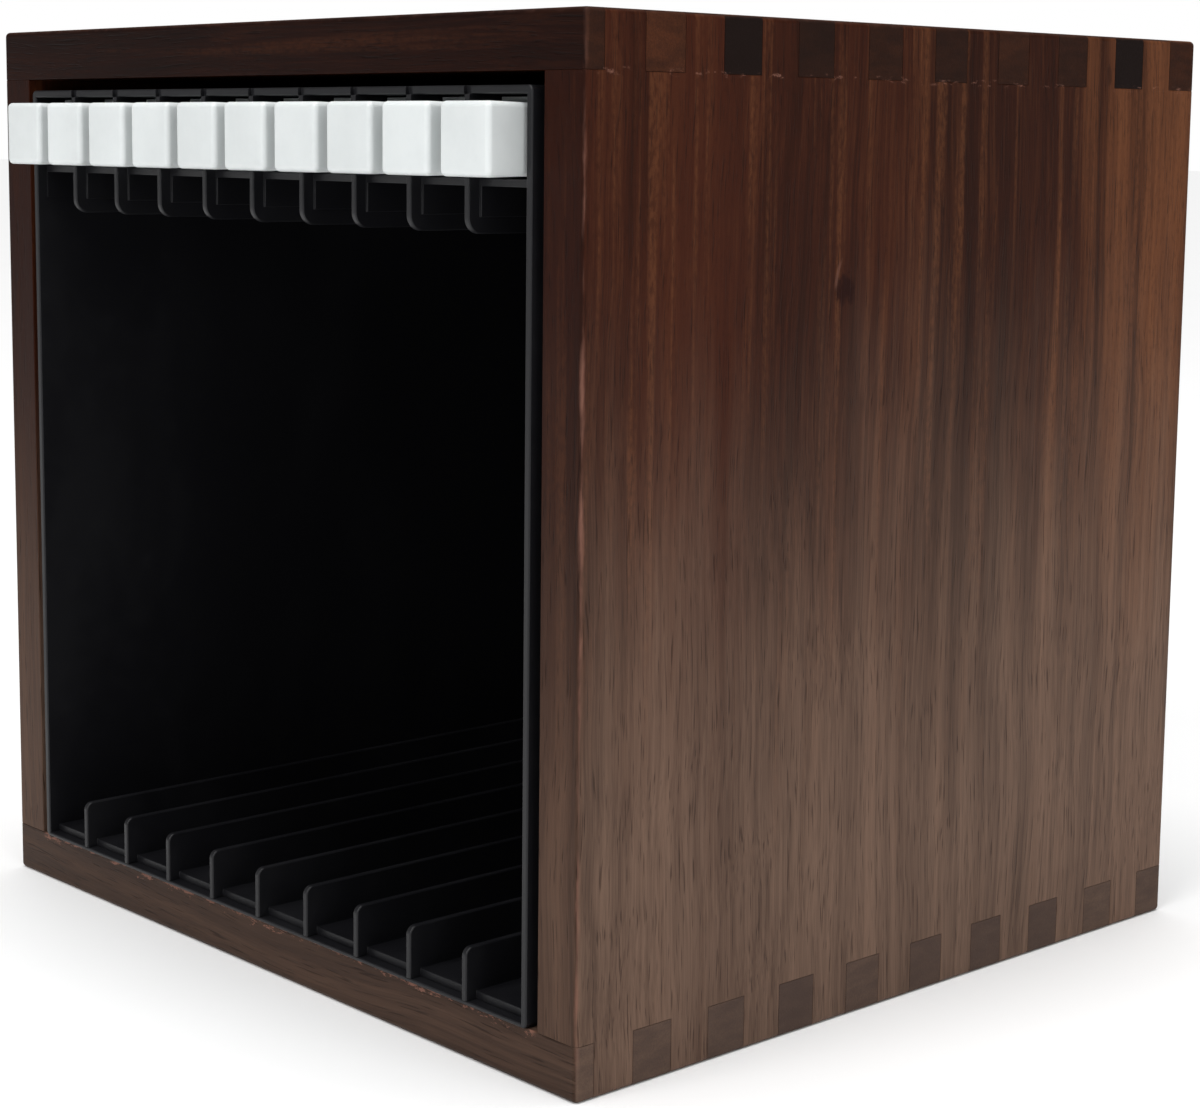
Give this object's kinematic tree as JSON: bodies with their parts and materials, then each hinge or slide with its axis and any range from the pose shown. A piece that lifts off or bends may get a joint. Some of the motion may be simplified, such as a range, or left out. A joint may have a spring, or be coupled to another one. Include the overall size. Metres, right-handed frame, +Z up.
{
  "type": "disc storage box",
  "caption": "Desktop cube of finger-jointed wood around a moulded rack of upright disc-case slots, with a row of spring-back push keys that swing ejector levers.",
  "frame": {"origin": "centre of the wooden case's underside", "axes": "+X to the right and -Y to the front, as seen from the front with the keys at the top; +Z up"},
  "size_m": [0.167, 0.1582, 0.165],
  "materials": {
    "stained_walnut": "satin",
    "stained_plywood": "matte",
    "black_plastic": "satin",
    "lever_plastic": "satin",
    "white_plastic": "satin",
    "bright_steel": "polished",
    "black_steel": "satin",
    "spring_steel": "satin"
  },
  "bodies": {
    "root": {"bottom_board": "stained_walnut", "top_board": "stained_walnut", "left_side_board": "stained_walnut", "right_side_board": "stained_walnut", "back_panel": "stained_plywood", "panel_pins": "black_steel", "rack_sleeve": "black_plastic", "rack_floor": "black_plastic", "key_deck": "black_plastic", "key_guide": "black_plastic", "lever_carrier": "black_plastic", "rack_cover": "black_plastic", "rack_screws": "black_steel", "pivot_rod": "bright_steel", "key_spring_01": "spring_steel", "key_spring_02": "spring_steel", "key_spring_03": "spring_steel", "key_spring_04": "spring_steel", "key_spring_05": "spring_steel", "key_spring_06": "spring_steel", "key_spring_07": "spring_steel", "key_spring_08": "spring_steel", "key_spring_09": "spring_steel", "key_spring_10": "spring_steel"},
    "key_01": {"key_01": "white_plastic"},
    "lever_01": {"lever_01": "lever_plastic"},
    "key_02": {"key_02": "white_plastic"},
    "lever_02": {"lever_02": "lever_plastic"},
    "key_03": {"key_03": "white_plastic"},
    "lever_03": {"lever_03": "lever_plastic"},
    "key_04": {"key_04": "white_plastic"},
    "lever_04": {"lever_04": "lever_plastic"},
    "key_05": {"key_05": "white_plastic"},
    "lever_05": {"lever_05": "lever_plastic"},
    "key_06": {"key_06": "white_plastic"},
    "lever_06": {"lever_06": "lever_plastic"},
    "key_07": {"key_07": "white_plastic"},
    "lever_07": {"lever_07": "lever_plastic"},
    "key_08": {"key_08": "white_plastic"},
    "lever_08": {"lever_08": "lever_plastic"},
    "key_09": {"key_09": "white_plastic"},
    "lever_09": {"lever_09": "lever_plastic"},
    "key_10": {"key_10": "white_plastic"},
    "lever_10": {"lever_10": "lever_plastic"}
  },
  "joints": [
    {"name": "key_01_slide", "type": "slide", "parent": "root", "child": "key_01", "axis": [0, 1, 0], "range_m": [0, 0.006], "stiffness_N_per_m": 150, "springref_m": -0.004, "deforming": ["key_spring_01"]},
    {"name": "lever_01_swing", "type": "hinge", "parent": "root", "child": "lever_01", "pos_m": [-0.06453, 0.064, 0.1309], "axis": [-1, 0, 0], "range_deg": [0, 23]},
    {"name": "key_02_slide", "type": "slide", "parent": "root", "child": "key_02", "axis": [0, 1, 0], "range_m": [0, 0.006], "stiffness_N_per_m": 150, "springref_m": -0.004, "deforming": ["key_spring_02"]},
    {"name": "lever_02_swing", "type": "hinge", "parent": "root", "child": "lever_02", "pos_m": [-0.05019, 0.064, 0.1309], "axis": [-1, 0, 0], "range_deg": [0, 23]},
    {"name": "key_03_slide", "type": "slide", "parent": "root", "child": "key_03", "axis": [0, 1, 0], "range_m": [0, 0.006], "stiffness_N_per_m": 150, "springref_m": -0.004, "deforming": ["key_spring_03"]},
    {"name": "lever_03_swing", "type": "hinge", "parent": "root", "child": "lever_03", "pos_m": [-0.03585, 0.064, 0.1309], "axis": [-1, 0, 0], "range_deg": [0, 23]},
    {"name": "key_04_slide", "type": "slide", "parent": "root", "child": "key_04", "axis": [0, 1, 0], "range_m": [0, 0.006], "stiffness_N_per_m": 150, "springref_m": -0.004, "deforming": ["key_spring_04"]},
    {"name": "lever_04_swing", "type": "hinge", "parent": "root", "child": "lever_04", "pos_m": [-0.02151, 0.064, 0.1309], "axis": [-1, 0, 0], "range_deg": [0, 23]},
    {"name": "key_05_slide", "type": "slide", "parent": "root", "child": "key_05", "axis": [0, 1, 0], "range_m": [0, 0.006], "stiffness_N_per_m": 150, "springref_m": -0.004, "deforming": ["key_spring_05"]},
    {"name": "lever_05_swing", "type": "hinge", "parent": "root", "child": "lever_05", "pos_m": [-0.00717, 0.064, 0.1309], "axis": [-1, 0, 0], "range_deg": [0, 23]},
    {"name": "key_06_slide", "type": "slide", "parent": "root", "child": "key_06", "axis": [0, 1, 0], "range_m": [0, 0.006], "stiffness_N_per_m": 150, "springref_m": -0.004, "deforming": ["key_spring_06"]},
    {"name": "lever_06_swing", "type": "hinge", "parent": "root", "child": "lever_06", "pos_m": [0.00717, 0.064, 0.1309], "axis": [-1, 0, 0], "range_deg": [0, 23]},
    {"name": "key_07_slide", "type": "slide", "parent": "root", "child": "key_07", "axis": [0, 1, 0], "range_m": [0, 0.006], "stiffness_N_per_m": 150, "springref_m": -0.004, "deforming": ["key_spring_07"]},
    {"name": "lever_07_swing", "type": "hinge", "parent": "root", "child": "lever_07", "pos_m": [0.02151, 0.064, 0.1309], "axis": [-1, 0, 0], "range_deg": [0, 23]},
    {"name": "key_08_slide", "type": "slide", "parent": "root", "child": "key_08", "axis": [0, 1, 0], "range_m": [0, 0.006], "stiffness_N_per_m": 150, "springref_m": -0.004, "deforming": ["key_spring_08"]},
    {"name": "lever_08_swing", "type": "hinge", "parent": "root", "child": "lever_08", "pos_m": [0.03585, 0.064, 0.1309], "axis": [-1, 0, 0], "range_deg": [0, 23]},
    {"name": "key_09_slide", "type": "slide", "parent": "root", "child": "key_09", "axis": [0, 1, 0], "range_m": [0, 0.006], "stiffness_N_per_m": 150, "springref_m": -0.004, "deforming": ["key_spring_09"]},
    {"name": "lever_09_swing", "type": "hinge", "parent": "root", "child": "lever_09", "pos_m": [0.05019, 0.064, 0.1309], "axis": [-1, 0, 0], "range_deg": [0, 23]},
    {"name": "key_10_slide", "type": "slide", "parent": "root", "child": "key_10", "axis": [0, 1, 0], "range_m": [0, 0.006], "stiffness_N_per_m": 150, "springref_m": -0.004, "deforming": ["key_spring_10"]},
    {"name": "lever_10_swing", "type": "hinge", "parent": "root", "child": "lever_10", "pos_m": [0.06453, 0.064, 0.1309], "axis": [-1, 0, 0], "range_deg": [0, 23]}
  ],
  "couplings": [
    {"joint": "lever_01_swing", "follows": "key_01_slide", "rad_per_m": 66.9},
    {"joint": "lever_02_swing", "follows": "key_02_slide", "rad_per_m": 66.9},
    {"joint": "lever_03_swing", "follows": "key_03_slide", "rad_per_m": 66.9},
    {"joint": "lever_04_swing", "follows": "key_04_slide", "rad_per_m": 66.9},
    {"joint": "lever_05_swing", "follows": "key_05_slide", "rad_per_m": 66.9},
    {"joint": "lever_06_swing", "follows": "key_06_slide", "rad_per_m": 66.9},
    {"joint": "lever_07_swing", "follows": "key_07_slide", "rad_per_m": 66.9},
    {"joint": "lever_08_swing", "follows": "key_08_slide", "rad_per_m": 66.9},
    {"joint": "lever_09_swing", "follows": "key_09_slide", "rad_per_m": 66.9},
    {"joint": "lever_10_swing", "follows": "key_10_slide", "rad_per_m": 66.9}
  ]
}
